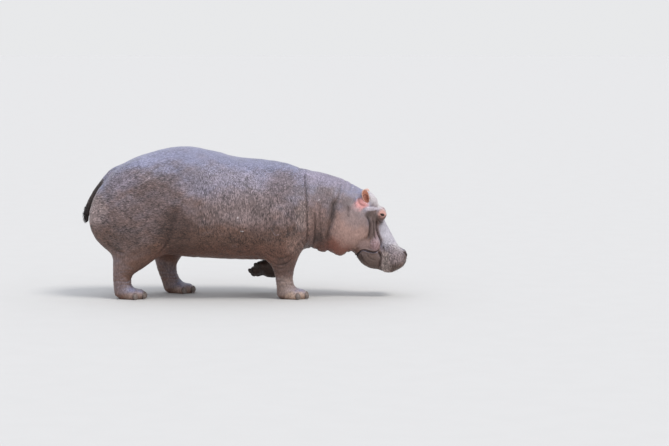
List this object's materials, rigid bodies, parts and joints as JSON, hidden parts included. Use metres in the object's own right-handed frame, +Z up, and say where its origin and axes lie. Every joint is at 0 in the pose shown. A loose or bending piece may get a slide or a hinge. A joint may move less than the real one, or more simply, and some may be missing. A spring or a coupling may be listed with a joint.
{
  "type": "hippopotamus",
  "caption": "Life-size still model of a walking hippopotamus: barrel trunk, lowered broad-muzzled head, short legs, one forefoot lifted.",
  "frame": {"origin": "on the floor, under the middle of the whole model's box", "axes": "+X the way it walks, from tail to nose; +Y its left side; +Z up"},
  "size_m": [3.5204, 1.072, 1.6292],
  "materials": {
    "hide": "bare, finely wrinkled skin with a faint moist sheen",
    "ear_skin": "thin orange-pink skin",
    "nail": "smooth keratin of a hoof-like nail",
    "eye": "wet, glossy brown eye"
  },
  "bodies": {
    "root": {"trunk": "hide", "neck": "hide", "head": "hide", "lower_jaw": "hide", "tail": "hide", "foreleg_right": "hide", "foreleg_left": "hide", "hindleg_right": "hide", "hindleg_left": "hide", "ear_right": "ear_skin", "ear_left": "ear_skin", "eye_right": "eye", "eye_left": "eye", "nail_foreleg_right_1": "nail", "nail_foreleg_right_2": "nail", "nail_foreleg_right_3": "nail", "nail_foreleg_right_4": "nail", "nail_foreleg_left_1": "nail", "nail_foreleg_left_2": "nail", "nail_foreleg_left_3": "nail", "nail_foreleg_left_4": "nail", "nail_hindleg_right_1": "nail", "nail_hindleg_right_2": "nail", "nail_hindleg_right_3": "nail", "nail_hindleg_right_4": "nail", "nail_hindleg_left_1": "nail", "nail_hindleg_left_2": "nail", "nail_hindleg_left_3": "nail", "nail_hindleg_left_4": "nail"}
  },
  "joints": []
}
